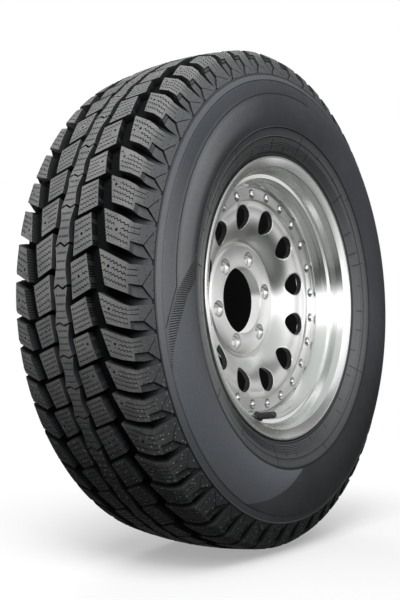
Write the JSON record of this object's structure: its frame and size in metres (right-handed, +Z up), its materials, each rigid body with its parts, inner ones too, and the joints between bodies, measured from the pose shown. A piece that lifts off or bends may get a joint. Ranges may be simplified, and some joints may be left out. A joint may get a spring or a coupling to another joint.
{
  "type": "winter tyre",
  "caption": "Winter tyre with slanted tread blocks and shoulder lugs, fitted to a polished aluminium wheel with a riveted, vented centre disc and a capped valve.",
  "frame": {"origin": "centre of the wheel: on the axle, in the middle of the tyre's width, on the plane of the hub face", "axes": "+Y along the axle towards the car, so the outer face looks along -Y; +Z up"},
  "size_m": [0.775, 0.2474, 0.7751],
  "materials": {
    "tyre_rubber": "matt black rubber, a little bluish, lighter on the tread",
    "polished_aluminium": "mirror polished",
    "rivet_aluminium": "bright, pressed",
    "valve_rubber": "satin moulded rubber",
    "valve_brass": "turned",
    "spring_steel": "drawn wire",
    "seal_rubber": "soft seal rubber",
    "cap_plastic": "ribbed moulded plastic"
  },
  "bodies": {
    "wheel": {"tyre": "tyre_rubber", "rim": "polished_aluminium", "centre_disc": "polished_aluminium", "rim_rivets": "rivet_aluminium", "valve_stem": "valve_rubber", "valve_tube": "valve_brass", "valve_core_barrel": "valve_brass", "valve_core_spring": "spring_steel"},
    "valve_pin": {"valve_core_pin": "valve_brass", "valve_core_seal": "seal_rubber"},
    "cap_seal": {"valve_cap_seal": "seal_rubber"},
    "cap": {"valve_cap": "cap_plastic"}
  },
  "joints": [
    {"name": "pin_press", "type": "slide", "parent": "wheel", "child": "valve_pin", "axis": [-0.0253, 0.9925, -0.1192], "range_m": [0, 0.0012], "stiffness_N_per_m": 300, "springref_m": -0.002, "deforming": ["valve_core_spring"]},
    {"name": "cap_lift", "type": "slide", "parent": "wheel", "child": "cap_seal", "axis": [0.0253, -0.9925, 0.1192], "range_m": [0, 0.00476]},
    {"name": "cap_turn", "type": "hinge", "parent": "cap_seal", "child": "cap", "pos_m": [-0.03898, -0.067, -0.1834], "axis": [0.0253, -0.9925, 0.1192], "range_deg": [0, 2160]}
  ],
  "couplings": [
    {"joint": "cap_turn", "follows": "cap_lift", "rad_per_m": 7915.8}
  ]
}
